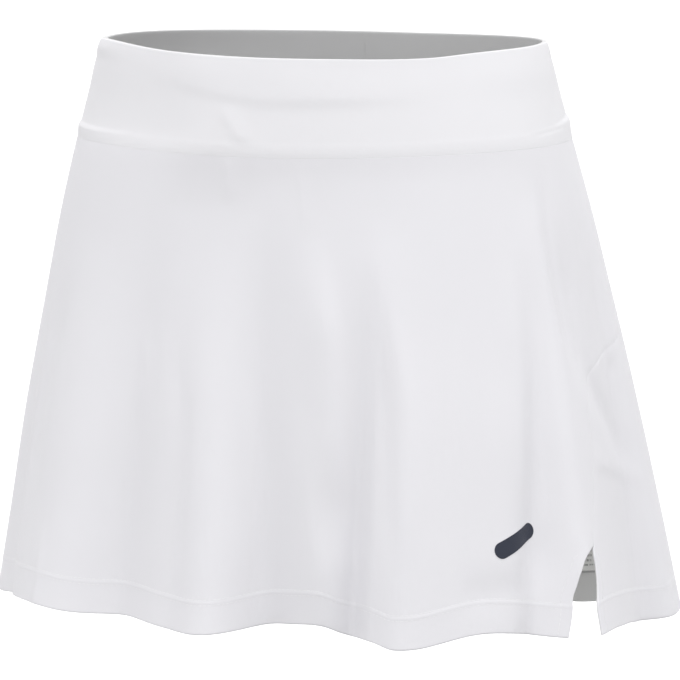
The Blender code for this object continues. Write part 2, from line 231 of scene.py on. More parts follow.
UNEVEN_DEPTH = 0.00035  # soft unevenness of the cloth
UNEVEN_SCALE = 26.0
UNEVEN_FALL = 0.45  # stretches it down the cloth

# ---- sizes of the finer cloth

SEAM_GAP = 0.00002  # left between edges that are sewn together
LAYER = 0.0008  # one layer of the knit
TURNED = 0.0016  # where an edge is turned in and the cloth is double
BAND_THICK = 0.0022
RIM_FOLD = 0.0008  # how tight the band is folded over at its outer top edge
FACING_WIDTH = 0.0068  # turned in along the slit
ALLOWANCE_WIDTH = 0.0060  # overlocked seam allowance inside the other seams
STEP_WIDTH = 0.0010  # over which the cloth goes from double to single
SLIT_START = 0.006  # over which the seam gives way to the slit
GROOVE_DEPTH = 0.00006  # the waist seam's groove, steep above the seam and long below it
BAND_GROOVE_REACH, PANEL_GROOVE_REACH = 0.0030, 0.0060
SEAM_DEPTH = 0.00016  # the side seams' grooves
SEAM_REACH = 0.0026
SEAM_EDGE = 0.00003  # how far a sewn edge draws in at its very end

ROLL_HEIGHT = 0.0098
ROLL_LIFT = 0.00010  # at the front and back
ROLL_SIDE_LIFT = 0.0019
ROLL_EDGE = 0.0036  # over which its upper edge rises
ROLL_SIDES = (-76.0, 104.0)  # where it stands out most
ROLL_SIDE_REACH = 17.0
ROLL_WIDER = 0.0058  # how much higher it is at the left side
ROLL_WIDE_REACH = 24.0

NEEDLE_ROWS = (0.0174, 0.0206)  # the hem's two rows of stitches, above its edge
HEM_MARGIN = 0.0004  # how far the turned-in edge reaches above HEM_HEIGHT
SLIT_ROW = 0.0052  # the slit's one row, from its edge
NEEDLE_DEPTH = 0.00006
HEM_RIDGE = 0.00015  # the soft ridge between the two rows, with its reach up and down
HEM_RIDGE_UP, HEM_RIDGE_DOWN = 0.0014, 0.0022
NEEDLE_REACH = 0.0006
STITCH_LENGTH, STITCH_PITCH = 0.0023, 0.0029
THREAD_RADIUS = 0.00013
LOOP_LENGTH, LOOP_PITCH = 0.0040, 0.0016
LOOP_LEAN = 1.0  # radians, to either side by turns

PANEL_COLUMNS = 240
PANEL_BODY_ROWS = 140
# Shares of the rows and of the drop: closer rows where the left seam runs round the hip.
ROW_SHARES = ((0.0, 0.0), (0.22, 0.24), (0.70, 0.60), (1.0, 1.0))
BAND_COLUMNS = 480
RIM_ROWS, BAND_BODY_ROWS, ROLL_ROWS = 5, 23, 29
BAND_END_STEPS = 8  # of TOP_STEPS, at the band's lower edge
COLUMN_SLIDE = 4  # power that keeps the columns far from the left seam at their angles
FAR_OFF = 1.0  # a distance at which an edge counts for nothing
FRONT_REST_ANGLE, BACK_REST_ANGLE = 80.0, 86.0
SETTLING_ROUNDS = 10
# Distances of a grid's rows and columns from its edges.
EDGE_STEPS = (0.0, 0.00012, 0.0003, 0.00055, 0.0009, 0.0014, 0.0020, 0.0028, 0.0040, 0.0048, 0.0054,
              0.0060, 0.0068, 0.0078)
TOP_STEPS = (0.0, 0.00012, 0.0003, 0.00055, 0.0009, 0.0014, 0.0020, 0.0028, 0.0040, 0.0056, 0.0066)
HEM_STEPS = (0.0, 0.00012, 0.0003, 0.0006, 0.0011, 0.0020, 0.0036, 0.0060, 0.0090, 0.0120, 0.0145, 0.0162,
             0.0169, 0.0174, 0.0179, 0.0185, 0.0191, 0.0197, 0.0202, 0.0206, 0.0210, 0.0217, 0.0230)


# ---- the form of the cloth


def smooth(t):
    t = np.clip(t, 0.0, 1.0)
    return t * t * (3.0 - 2.0 * t)


def curve(at, value, where):
    """A smooth curve through points, with no overshoot."""
    at, value = np.asarray(at, float), np.asarray(value, float)
    step = np.diff(at)
    slope = np.diff(value) / step
    tangent = np.empty_like(value)
    tangent[0], tangent[-1] = slope[0], slope[-1]
    same_way = slope[1:] * slope[:-1] > 0
    mean = (slope[1:] * step[:-1] + slope[:-1] * step[1:]) / (step[1:] + step[:-1])
    steepest = 3.0 * np.minimum(abs(slope[1:]), abs(slope[:-1]))
    tangent[1:-1] = np.where(same_way, np.sign(mean) * np.minimum(abs(mean), steepest), 0.0)
    where = np.clip(where, at[0], at[-1])
    i = np.clip(np.searchsorted(at, where, side="right") - 1, 0, len(at) - 2)
    t = (where - at[i]) / step[i]
    rise = value[i + 1] - value[i]
    start, end = tangent[i] * step[i], tangent[i + 1] * step[i]
    return value[i] + t * (start + t * (3 * rise - 2 * start - end + t * (start + end - 2 * rise)))


def through(rows, name, drop):
    """A smooth curve through a table's column, read at a drop."""
    return curve([row.drop for row in rows], [getattr(row, name) for row in rows], drop)


def turned(angle):
    """An angle brought to within half a turn of 0."""
    return (angle + CIRCLE / 2) % CIRCLE - CIRCLE / 2


def bell(away, before, after):
    return np.exp(-((away / np.where(away < 0, before, after)) ** 2))


def hem_drop(angle):
    """How far below the waist edge the hem hangs at an angle."""
    turn = np.radians(angle)
    hem = SKIRT_LENGTH + HEM_TILT * np.sin(turn) + HEM_BACK * (1 - np.cos(turn)) / 2
    return hem + sum(wave.drop * bell(turned(angle - wave.angle), wave.left, wave.right) for wave in WAVES)


def drape(angle, drop):
    """How far the folds move the cloth outwards."""
    total = np.zeros(np.broadcast(angle, drop).shape)
    for fold in FOLDS:
        t = np.clip((drop - fold.start) / (SKIRT_LENGTH - fold.start), 0.0, FOLD_END)
        centre = fold.top_angle + (fold.hem_angle - fold.top_angle) * t
        grown = t * t / (t + FOLD_EASE)
        total = total + fold.depth * grown * bell(turned(angle - centre), fold.left, fold.right)
    return total


def creased(angle, drop):
    """How far the creases move the cloth outwards."""
    total = np.zeros(np.broadcast(angle, drop).shape)
    for crease in CREASES:
        angles, drops = np.array(crease.points, float).T
        around = turned(angle - angles.mean()) + angles.mean()
        if crease.way == "down":
            along = (drop - drops[0]) / (drops[-1] - drops[0])
            away = around - curve(drops, angles, drop)
        else:
            along = (around - angles[0]) / (angles[-1] - angles[0])
            away = drop - curve(angles, drops, around)
        fade = smooth(along / CREASE_FADE) * smooth((1 - along) / CREASE_FADE)
        total = total + crease.depth * fade * bell(away, crease.before, crease.after)
    return total


def plain_radius(angle, drop):
    """Distance of the plain form from the section's own centre."""
    turn = np.radians(angle)
    width = through(SECTIONS, "half_width", drop)
    front = through(SECTIONS, "front_depth", drop)
    back = through(SECTIONS, "back_depth", drop)
    power = through(SECTIONS, "squareness", drop)
    depth = np.where(np.cos(turn) > 0, front, back)
    return (abs(np.sin(turn) / width) ** power + abs(np.cos(turn) / depth) ** power) ** (-1 / power)


def place(angle, drop, radius):
    turn = np.radians(angle)
    x = through(SECTIONS, "lean", drop) + radius * np.sin(turn)
    rim = sum(wave.drop * bell(turned(angle - wave.angle), wave.left, wave.right) for wave in RIM)
    lower = drop + SADDLE * np.cos(2 * turn) + rim * (1 - smooth(drop / RIM_DEPTH))
    return np.stack([x, -radius * np.cos(turn), -lower], axis=-1)


def uneven(points):
    """The cloth's soft unevenness at each point."""
    flat = points.reshape(-1, 3) * UNEVEN_SCALE
    flat[:, 2] *= UNEVEN_FALL
    values = [noise.noise(p, noise_basis="PERLIN_ORIGINAL") for p in map(Vector, flat.tolist())]
    return UNEVEN_DEPTH * np.array(values).reshape(points.shape[:-1])


def skin(angle, drop):
    """The radius of the cloth's outside, with its folds and creases."""
    angle, drop = np.broadcast_arrays(np.asarray(angle, float), np.asarray(drop, float))
    radius = plain_radius(angle, drop) + drape(angle, drop) + creased(angle, drop)
    return radius + uneven(place(angle, drop, radius))


def left_edge(drop, side):
    """The angle of the left seam, or below it of the slit's forward or backward edge."""
    opening = through(SLIT, side, drop)
    return through(LEFT_SEAM, "angle", drop) + (-opening if side == "forward" else opening)


def edge_slant(drop, side):
    """How many metres the left edge goes round for each metre that it drops."""
    step = 0.005
    turn = np.radians(left_edge(drop + step, side) - left_edge(drop - step, side)) / (2 * step)
    return turn * plain_radius(left_edge(drop, side), drop)


# ---- grids to meshes


def shell(name, outside, inside, materials):
    """A closed sheet of cloth from two grids of points that meet along their four edges."""
    rows, columns = outside.shape[:2]
    number = np.arange(rows * columns).reshape(rows, columns)
    inner = inside[1:-1, 1:-1].reshape(-1, 3)
    behind = number.copy()
    behind[1:-1, 1:-1] = rows * columns + np.arange(len(inner)).reshape(rows - 2, columns - 2)
    points = np.concatenate([outside.reshape(-1, 3), inner])
    return grid_mesh(name, points, [(number, False, 0), (behind, True, 1)], materials)


def grid_mesh(name, points, grids, materials):
    """A piece from grids of point numbers, each laid out flat in its own half of the bake map."""
    faces, slots, spots = [], [], []
    for half, (number, flipped, slot) in enumerate(grids):
        rows, columns = number.shape
        along = np.linspace(BAKE_EDGE, 0.5 - BAKE_EDGE, columns) + half / 2
        spot = np.stack(np.meshgrid(along, np.linspace(1 - BAKE_EDGE, BAKE_EDGE, rows)), axis=-1)
        for grid, kept in ((number, faces), (spot, spots)):
            quads = np.stack([grid[:-1, :-1], grid[1:, :-1], grid[1:, 1:], grid[:-1, 1:]], axis=2)
            quads = quads.reshape(-1, 4, *grid.shape[2:])
            kept.append(quads[:, ::-1] if flipped else quads)
        slots.append(np.full(len(faces[-1]), slot))
    piece = new_piece(name, points, np.concatenate(faces), materials, np.concatenate(slots))
    layer = piece.data.uv_layers.new(name="OFBake", do_init=False)
    layer.uv.foreach_set("vector", np.concatenate(spots).astype(np.float32).ravel())
    return piece


def into_scene(name, data):
    obj = bpy.data.objects.new(name, data)
    bpy.context.scene.collection.objects.link(obj)
    return obj


def new_piece(name, points, faces, materials, slots=None):
    mesh = bpy.data.meshes.new(name)
    mesh.from_pydata(points.tolist(), [], faces.tolist())
    for material in materials:
        mesh.materials.append(material)
    if slots is not None:
        mesh.polygons.foreach_set("material_index", slots.astype(np.int32))
    mesh.shade_smooth()
    mesh.validate()
    return into_scene(name, mesh)


def set_map(piece, name, values):
    """A UV map from one pair of numbers for each point."""
    mesh = piece.data
    corners = np.empty(len(mesh.loops), np.int32)
    mesh.loops.foreach_get("vertex_index", corners)
    layer = mesh.uv_layers.new(name=name, do_init=False)
    layer.uv.foreach_set("vector", values[corners].astype(np.float32).ravel())


BAKE_EDGE = 0.004  # left free round each half of the bake map
FLARE = 0.186  # how much the mean radius grows for each metre down the cloth
FLAT_TOP = 0.715  # radius of the flat cut's arc at the waist seam


def grain(points, middle):
    """Where each point lies on the flat cloth, in metres: wales run up and down at the middle angle."""
    angle = turned(np.degrees(np.arctan2(points[:, 0], -points[:, 1])) - middle)
    radius = FLAT_TOP - points[:, 2] - BAND_HEIGHT
    turn = np.radians(angle) * FLARE
    return np.stack([radius * np.sin(turn), -radius * np.cos(turn)], axis=-1)


def set_grain(piece, middle):
    """Lays the knit over a piece, straight down it at the middle angle."""
    points = np.empty(len(piece.data.vertices) * 3)
    piece.data.vertices.foreach_get("co", points)
    set_map(piece, "grain", grain(points.reshape(-1, 3), middle))


# ---- materials

KNIT_OUT = (0.735, 0.729, 0.758)
KNIT_IN = (0.705, 0.705, 0.700)
BAND_OUT = (0.752, 0.747, 0.771)  # double, so less shows through
# painted shade: the band's inside is the same white knit, made greyer here to stand for the shade inside
# the waist opening
BAND_IN_PAINTED_SHADE = (0.576, 0.576, 0.581)
THREAD = (0.79, 0.79, 0.80)
LABEL = (0.84, 0.84, 0.82)
LABEL_INK = (0.16, 0.16, 0.16)
MARK_INK = (0.0095, 0.0135, 0.0290)
WALE = 0.00085  # width of a knit stitch
COURSE = 0.00065  # height of a knit stitch
STITCH_SLANT = 1.4  # how steeply its legs rise, in stitch heights
STITCH_LEGS = 0.35  # their height against the column's


class Nodes:
    """A material's node tree, with short calls to add and join nodes."""

    def __init__(self, name, color):
        self.material = bpy.data.materials.new(name)
        self.material.use_nodes = True
        self.tree = self.material.node_tree
        self.shader = self.tree.nodes["Principled BSDF"]
        self.space = self.add("TexCoord").outputs["Object"]
        self.material.diffuse_color = (*color, 1.0)

    def add(self, kind, **settings):
        node = self.tree.nodes.new("ShaderNode" + kind)
        for key, value in settings.items():
            setattr(node, key, value)
        return node

    def put(self, value, socket):
        if isinstance(value, bpy.types.NodeSocket):
            self.tree.links.new(value, socket)
        else:
            socket.default_value = value

    def math(self, operation, first, second=0.0, third=0.0):
        node = self.add("Math", operation=operation)
        for value, socket in zip((first, second, third), node.inputs):
            self.put(value, socket)
        return node.outputs[0]

    def split(self, vector):
        node = self.add("SeparateXYZ")
        self.put(vector, node.inputs[0])
        return node.outputs[0], node.outputs[1]

    def noise(self, scale, detail=2.0, rough=0.5):
        node = self.add("TexNoise")
        self.put(self.space, node.inputs["Vector"])
        node.inputs["Scale"].default_value = scale
        node.inputs["Detail"].default_value = detail
        node.inputs["Roughness"].default_value = rough
        return node.outputs["Fac"]

    def between(self, factor, low, high):
        node = self.add("MapRange")
        self.put(factor, node.inputs["Value"])
        node.inputs["To Min"].default_value = low
        node.inputs["To Max"].default_value = high
        return node.outputs[0]

    def mixed(self, factor, low, high):
        node = self.add("Mix", data_type="RGBA")
        self.put(factor, node.inputs["Factor"])
        for value, socket in ((low, node.inputs[6]), (high, node.inputs[7])):  # colours A and B
            self.put((*value, 1.0) if isinstance(value, tuple) else value, socket)
        return node.outputs[2]

    def bump(self, height, distance, strength=1.0, normal=None):
        node = self.add("Bump")
        self.put(height, node.inputs["Height"])
        node.inputs["Distance"].default_value = distance
        node.inputs["Strength"].default_value = strength
        if normal is not None:
            self.put(normal, node.inputs["Normal"])
        return node.outputs[0]

    def finish(self, color, roughness, normal, **constants):
        self.put(color, self.shader.inputs["Base Color"])
        self.put(roughness, self.shader.inputs["Roughness"])
        self.put(normal, self.shader.inputs["Normal"])
        for name, value in constants.items():
            self.shader.inputs[name.replace("_", " ")].default_value = value
        return self.material


def shade(color, factor):
    return tuple(c * factor for c in color)


def knit_height(nodes):
    """Columns of V-shaped knit stitches, highest on the middle of each leg."""
    u, v = nodes.split(nodes.add("UVMap", uv_map="grain").outputs[0])
    across = nodes.math("FRACT", nodes.math("DIVIDE", u, WALE))
    side = nodes.math("ABSOLUTE", nodes.math("SUBTRACT", across, 0.5))
    row = nodes.math("ADD", nodes.math("DIVIDE", v, COURSE), nodes.math("MULTIPLY", side, STITCH_SLANT))
    leg = nodes.math("SINE", nodes.math("MULTIPLY", row, 2 * math.pi))
    rib = nodes.math("SINE", nodes.math("MULTIPLY", side, 2 * math.pi))
    return nodes.math("MULTIPLY_ADD", leg, STITCH_LEGS, rib)


def knit(name, color, relief):
    """A fine, smooth polyester knit with a soft sheen."""
    nodes = Nodes(name, color)
    cloud = nodes.noise(scale=11.0, detail=3.0)
    fibre = nodes.noise(scale=1500.0, rough=0.6)
    tone = nodes.mixed(cloud, shade(color, 0.985), shade(color, 1.012))
    tone = nodes.mixed(nodes.between(fibre, low=0.0, high=0.05), tone, shade(color, 0.80))
    rough = nodes.between(nodes.noise(scale=60.0, detail=3.0), low=0.60, high=0.74)
    stitches = nodes.bump(knit_height(nodes), distance=relief)
    fuzz = nodes.bump(fibre, distance=0.00006, strength=0.5, normal=stitches)
    return nodes.finish(tone, rough, fuzz, Sheen_Weight=0.22, Sheen_Roughness=0.45,
                        Specular_IOR_Level=0.28)


def thread_finish():
    nodes = Nodes("sewing_thread", THREAD)
    twist = nodes.noise(scale=3200.0)
    tone = nodes.mixed(twist, shade(THREAD, 0.93), shade(THREAD, 1.03))
    rough = nodes.between(twist, low=0.42, high=0.60)
    relief = nodes.bump(twist, distance=0.00008)
    return nodes.finish(tone, rough, relief, Sheen_Weight=0.15, Specular_IOR_Level=0.4)


def label_finish():
    """White satin with rows of broken, plain grey dashes where a label's small print would be."""
    nodes = Nodes("label_satin", LABEL)
    u, v = nodes.split(nodes.add("UVMap", uv_map="label").outputs[0])
    ribs = nodes.math("SINE", nodes.math("MULTIPLY", v, 2 * math.pi / SATIN_RIB))
    line = nodes.math("DIVIDE", v, PRINT_PITCH)
    in_line = nodes.math("LESS_THAN", nodes.math("FRACT", line), PRINT_HEIGHT)
    place_in_line = nodes.add("CombineXYZ")
    nodes.put(nodes.math("MULTIPLY", u, DASHES_PER_METRE), place_in_line.inputs[0])
    nodes.put(nodes.math("MULTIPLY", nodes.math("FLOOR", line), LINE_OFFSET), place_in_line.inputs[1])
    dash = nodes.add("TexNoise", noise_dimensions="2D")
    nodes.put(place_in_line.outputs[0], dash.inputs["Vector"])
    dash.inputs["Scale"].default_value = 1.0
    dash.inputs["Detail"].default_value = 0.0
    broken = nodes.math("GREATER_THAN", dash.outputs["Fac"], DASH_BREAKS)
    ink = nodes.math("MULTIPLY", in_line, broken)
    for inside in (
        nodes.math("LESS_THAN", nodes.math("ABSOLUTE", u), LABEL_WIDTH / 2 - PRINT_MARGIN),
        nodes.math("GREATER_THAN", v, PRINT_MARGIN),
        nodes.math("LESS_THAN", v, LABEL_LENGTH - PRINT_TOP_MARGIN),
    ):
        ink = nodes.math("MULTIPLY", ink, inside)
    ink = nodes.math("MULTIPLY", ink, INK_STRENGTH)
    ground = nodes.mixed(nodes.noise(scale=90.0, detail=3.0), shade(LABEL, 0.97), shade(LABEL, 1.03))
    tone = nodes.mixed(ink, ground, LABEL_INK)
    rough = nodes.between(nodes.noise(scale=400.0), low=0.34, high=0.50)
    relief = nodes.bump(ribs, distance=0.00003)
    return nodes.finish(tone, rough, relief, Sheen_Weight=0.1, Specular_IOR_Level=0.45)


def mark_finish():
    """Heat-set film that takes on a little of the knit beneath."""
    nodes = Nodes("printed_film", MARK_INK)
    cloud = nodes.noise(scale=140.0, detail=3.0)
    tone = nodes.mixed(cloud, shade(MARK_INK, 0.85), shade(MARK_INK, 1.25))
    rough = nodes.between(nodes.noise(scale=500.0), low=0.38, high=0.52)
    relief = nodes.bump(knit_height(nodes), distance=0.00003)
    return nodes.finish(tone, rough, relief, Specular_IOR_Level=0.45)


# ---- pieces of cloth


def rounded(distance, thickness):
    """How far each face of a sheet draws in near its rounded edge."""
    radius = thickness / 2
    inward = np.clip(radius - distance, 0.0, radius)
    return radius - np.sqrt(radius**2 - inward**2)


def double(distance, width):
    """1 where the cloth is double along an edge, 0 beyond."""
    return 1 - smooth((distance - width) / STEP_WIDTH + 0.5)


def groove(distance, depth, reach):
    return -depth * (1 - smooth(distance / reach))


def needle(distance, at):
    """The trough that a row of stitches pulls into the cloth."""
    return -NEEDLE_DEPTH * np.exp(-(((distance - at) / NEEDLE_REACH) ** 2))


def panel_rows(hem):
    """The drop of each row of a panel above a hem at those drops."""
    top = BAND_HEIGHT + SEAM_GAP / 2
    first = top + np.array(TOP_STEPS)[:, None]
    last = hem - np.array(HEM_STEPS[::-1])[:, None]
    share = curve(*zip(*ROW_SHARES), np.linspace(0.0, 1.0, PANEL_BODY_ROWS + 2))[1:-1, None]
    body = first[-1] + share * (last[0] - first[-1])
    return np.concatenate([np.broadcast_to(first, (len(first), len(hem))), body, last])


def panel_grid(side):
    """The angle and drop of each point of a panel, and its distance from each seam.

    The columns near the left seam follow it, and those far from it keep their angles.
    """
    far = RIGHT_SEAM_ANGLE + (CIRCLE if side == "backward" else 0.0)
    rest = FRONT_REST_ANGLE if side == "forward" else BACK_REST_ANGLE
    way = 1.0 if side == "forward" else -1.0  # from the far seam to the left one
    steps = np.array(EDGE_STEPS)
    share = np.linspace(0.0, 1.0, PANEL_COLUMNS + 2)[None, 1:-1]
    columns = PANEL_COLUMNS + 2 * len(steps)
    rows = len(TOP_STEPS) + PANEL_BODY_ROWS + len(HEM_STEPS)
    drop = np.repeat(np.linspace(BAND_HEIGHT, SKIRT_LENGTH, rows)[:, None], columns, axis=1)
    gap = SEAM_GAP / 2
    for _ in range(SETTLING_ROUNDS):
        near_drop = drop[:, -1:]
        edge = left_edge(near_drop, side)
        stretch = np.sqrt(1 + edge_slant(near_drop, side) ** 2)
        per_metre = np.degrees(1 / plain_radius(edge, near_drop)) * stretch
        near = edge - way * (gap + steps[None, ::-1]) * per_metre
        far_per_metre = np.degrees(1 / plain_radius(far, drop[:, :1]))
        first = far + way * (gap + steps[None, :]) * far_per_metre
        start, end = first[:, -1:], near[:, :1]
        middle = start + (rest - start) * share + (end - rest) * share**COLUMN_SLIDE
        angle = np.concatenate([first, middle, near], axis=1)
        drop = panel_rows(hem_drop(angle[-1]))
    beyond = np.full(columns - len(steps), FAR_OFF)
    far_away = np.concatenate([steps, beyond])
    near_away = np.concatenate([beyond, steps[::-1]])
    shape = angle.shape
    return angle, drop, np.broadcast_to(far_away, shape), np.broadcast_to(near_away, shape)


def panel(name, side, materials):
    """A panel of the skirt, with its hem and the slit's edge turned in and its seam edges pulled in."""
    angle, drop, far, near = panel_grid(side)
    above_hem = hem_drop(angle) - drop
    below_seam = drop - BAND_HEIGHT - SEAM_GAP / 2
    slit = smooth((drop - SLIT_TOP) / SLIT_START)
    lift = groove(below_seam, GROOVE_DEPTH, PANEL_GROOVE_REACH)
    lift = lift + groove(far, SEAM_DEPTH, SEAM_REACH)
    lift = lift + groove(near, SEAM_DEPTH, SEAM_REACH) * (1 - slit)
    lift = lift + sum(needle(above_hem, at) for at in NEEDLE_ROWS)
    lift = lift + HEM_RIDGE * bell(sum(NEEDLE_ROWS) / 2 - above_hem, HEM_RIDGE_UP, HEM_RIDGE_DOWN)
    lift = lift + needle(near, SLIT_ROW) * slit
    facing = ALLOWANCE_WIDTH + (FACING_WIDTH - ALLOWANCE_WIDTH) * slit
    turned_in = np.maximum(double(above_hem, HEM_HEIGHT + HEM_MARGIN), double(near, facing))
    turned_in = np.maximum(turned_in, double(far, ALLOWANCE_WIDTH))
    turned_in = np.maximum(turned_in, double(below_seam, ALLOWANCE_WIDTH))
    thickness = LAYER + (TURNED - LAYER) * turned_in
    sewn_side = np.minimum(far, near + FAR_OFF * slit)  # the left edge stops being sewn at the slit
    free_side = near + FAR_OFF * (slit == 0)  # and is free only there
    sewn = np.maximum(np.minimum(sewn_side, below_seam), 0.0)
    free = np.maximum(np.minimum(free_side, above_hem), 0.0)
    drawn_in = rounded(np.minimum(sewn, free), thickness)
    drawn_out = np.maximum(rounded(sewn, 2 * SEAM_EDGE), rounded(free, thickness))
    radius = skin(angle, drop)
    outside = place(angle, drop, radius + lift - drawn_out)
    inside = place(angle, drop, radius + lift - thickness + drawn_in)
    if side == "backward":
        outside, inside = outside[:, ::-1], inside[:, ::-1]
    return shell(name, outside, inside, materials)


def roll(angle, distance):
    """How far the band stands out at a distance above the waist seam."""
    wider = bell(turned(angle - ROLL_SIDES[1]), ROLL_WIDE_REACH, ROLL_WIDE_REACH)
    height = ROLL_HEIGHT + ROLL_WIDER * wider
    sides = sum(bell(turned(angle - side), ROLL_SIDE_REACH, ROLL_SIDE_REACH) for side in ROLL_SIDES)
    lift = ROLL_LIFT + (ROLL_SIDE_LIFT - ROLL_LIFT) * sides
    below = np.maximum(height - distance, 0.0)
    return lift * smooth(below / ROLL_EDGE) * (1 - below / height)


def closed(grid):
    """A grid of point numbers with its first column again after its last."""
    return np.concatenate([grid, grid[:, :1]], axis=1)


def waistband(materials):
    """The band: knit folded double over its top edge, with a roll along the waist seam."""
    down = np.concatenate([
        BAND_THICK / 2 * (1 - np.cos(np.linspace(0, math.pi / 2, RIM_ROWS))),
        np.linspace(BAND_THICK / 2, BAND_HEIGHT - ROLL_HEIGHT - ROLL_WIDER, BAND_BODY_ROWS + 1)[1:],
        BAND_HEIGHT - np.linspace(ROLL_HEIGHT + ROLL_WIDER, BAND_GROOVE_REACH, ROLL_ROWS + 1)[1:],
        BAND_HEIGHT - SEAM_GAP / 2 - np.array(TOP_STEPS[:BAND_END_STEPS])[::-1],
    ])
    round_it = np.linspace(0.0, CIRCLE, BAND_COLUMNS, endpoint=False)
    angle, drop = np.broadcast_arrays(round_it[None, :], down[:, None])
    above_seam = BAND_HEIGHT - SEAM_GAP / 2 - drop
    lift = roll(angle, above_seam) + groove(above_seam, GROOVE_DEPTH, BAND_GROOVE_REACH)
    radius = skin(angle, drop)
    drawn = rounded(np.minimum(drop, above_seam), BAND_THICK)
    drawn_out = np.maximum(rounded(drop, RIM_FOLD), rounded(above_seam, 2 * SEAM_EDGE))
    uncreased = plain_radius(angle, drop) + uneven(place(angle, drop, radius))
    outside = place(angle, drop, radius + lift - drawn_out)
    inside = place(angle, drop, uncreased - BAND_THICK + drawn)[1:-1]
    points = np.concatenate([outside.reshape(-1, 3), inside.reshape(-1, 3)])
    number = np.arange(len(points)).reshape(-1, BAND_COLUMNS)
    front = number[:len(down)]
    behind = np.concatenate([front[:1], number[len(down):], front[-1:]])
    grids = [(closed(front), False, 0), (closed(behind), True, 1)]
    return grid_mesh("waistband_cloth", points, grids, materials)


# ---- stitches


def surface(angle, drop, lift=0.0):
    return place(angle, drop, skin(angle, drop) + lift)


def normals_at(angle, drop):
    """The cloth's outward normal, from neighbouring points."""
    turn, fall = 0.15, 0.0004
    round_it = surface(angle + turn, drop) - surface(angle - turn, drop)
    down_it = surface(angle, drop + fall) - surface(angle, drop - fall)
    normal = np.cross(down_it, round_it)
    return normal / np.linalg.norm(normal, axis=-1, keepdims=True)


STITCH_SIDES = 6
Ring = namedtuple("Ring", "along thick high")  # shares of the length and of the radius
STITCH_PROFILE = (
    Ring(-0.50, 0.35, -1.10),
    Ring(-0.44, 0.85, -0.50),
    Ring(-0.25, 1.00, 0.10),
    Ring(0.00, 1.00, 0.25),
    Ring(0.25, 1.00, 0.10),
    Ring(0.44, 0.85, -0.50),
    Ring(0.50, 0.35, -1.10),
)
HEADING_STEP = 0.0005  # to each side, to find the way that a row runs


def stitch_faces():
    """One stitch's faces by point number: from ring to ring, then its two ends."""
    faces = []
    last = len(STITCH_PROFILE) - 1
    for ring in range(last):
        for side in range(STITCH_SIDES):
            near = ring * STITCH_SIDES + side
            far = ring * STITCH_SIDES + (side + 1) % STITCH_SIDES
            faces.append((near, far, far + STITCH_SIDES, near + STITCH_SIDES))
    for start, flipped in ((0, True), (last * STITCH_SIDES, False)):
        for side in range(1, STITCH_SIDES - 1, 2):
            face = [start + corner for corner in (0, side, side + 1, (side + 2) % STITCH_SIDES)]
            faces.append(face[::-1] if flipped else face)
    return np.array(faces)


def stitches(name, paths, material, lift, length=STITCH_LENGTH, pitch=STITCH_PITCH, lean=0.0, outward=1.0):
    """Rows of separate stitches along paths of (angle, drop), each dipping into the cloth at its ends."""
    points, faces, count = [], [], 0
    for angles, drops in paths:
        line = surface(angles, drops)
        travelled = np.concatenate([[0.0], np.cumsum(np.linalg.norm(np.diff(line, axis=0), axis=1))])
        number = int(travelled[-1] // pitch)
        at = (np.arange(number) + 0.5) * travelled[-1] / number
        angle, drop = np.interp(at, travelled, angles), np.interp(at, travelled, drops)
        centre = surface(angle, drop, lift)
        normal = normals_at(angle, drop) * outward
        ahead, behind = (
            np.stack([np.interp(at + step, travelled, axis) for axis in line.T], axis=-1)
            for step in (HEADING_STEP, -HEADING_STEP)
        )
        along = ahead - behind
        along -= normal * (along * normal).sum(-1, keepdims=True)
        along /= np.linalg.norm(along, axis=-1, keepdims=True)
        slant = lean * np.where(np.arange(number) % 2, 1.0, -1.0)[:, None]
        heading = along * np.cos(slant) + np.cross(normal, along) * np.sin(slant)
        across = np.cross(normal, heading)
        own = []
        for ring in STITCH_PROFILE:
            middle = centre + heading * ring.along * length + normal * ring.high * THREAD_RADIUS
            for turn in np.arange(STITCH_SIDES) * 2 * math.pi / STITCH_SIDES:
                out = across * math.cos(turn) + normal * math.sin(turn)
                own.append(middle + out * THREAD_RADIUS * ring.thick)
        points.append(np.stack(own, axis=1).reshape(-1, 3))
        first = count + np.arange(number)[:, None] * len(own)
        faces += [first + face for face in stitch_faces()]
        count += number * len(own)
    return new_piece(name, np.concatenate(points), np.concatenate(faces), [material])


HEM_PATH_POINTS, SLIT_PATH_POINTS = 900, 120
RIGHT_SEAM_CLEAR, SLIT_CLEAR = 1.0, 1.9  # degrees that the hem's rows end before the seam and the slit
SLIT_ANGLE, SLIT_HALF_ANGLE = 64.0, 3.0  # about the slit's middle at the hem, and half its width
SLIT_ROW_START, SLIT_ROW_END = 0.0035, 0.0012  # below the slit's top and above the hem


def hem_path(side, above):
    """A path along a panel's hem, at a height above its edge."""
    way = -1.0 if side == "forward" else 1.0
    drop = hem_drop(SLIT_ANGLE + way * SLIT_HALF_ANGLE) - HEM_HEIGHT
    first, last = RIGHT_SEAM_ANGLE + RIGHT_SEAM_CLEAR, left_edge(drop, side) + way * SLIT_CLEAR
    if side == "backward":
        first, last = last, RIGHT_SEAM_ANGLE + CIRCLE - RIGHT_SEAM_CLEAR
    angle = np.linspace(first, last, HEM_PATH_POINTS)
    return angle, hem_drop(angle) - above


def slit_path(side):
    """A path down the slit's edge."""
    way = -1.0 if side == "forward" else 1.0
    end = hem_drop(SLIT_ANGLE) - SLIT_ROW_END
    drop = np.linspace(SLIT_TOP + SLIT_ROW_START, end, SLIT_PATH_POINTS)
    edge = left_edge(drop, side)
    stretch = np.sqrt(1 + edge_slant(drop, side) ** 2)
    return edge + way * SLIT_ROW * np.degrees(1 / plain_radius(edge, drop)) * stretch, drop


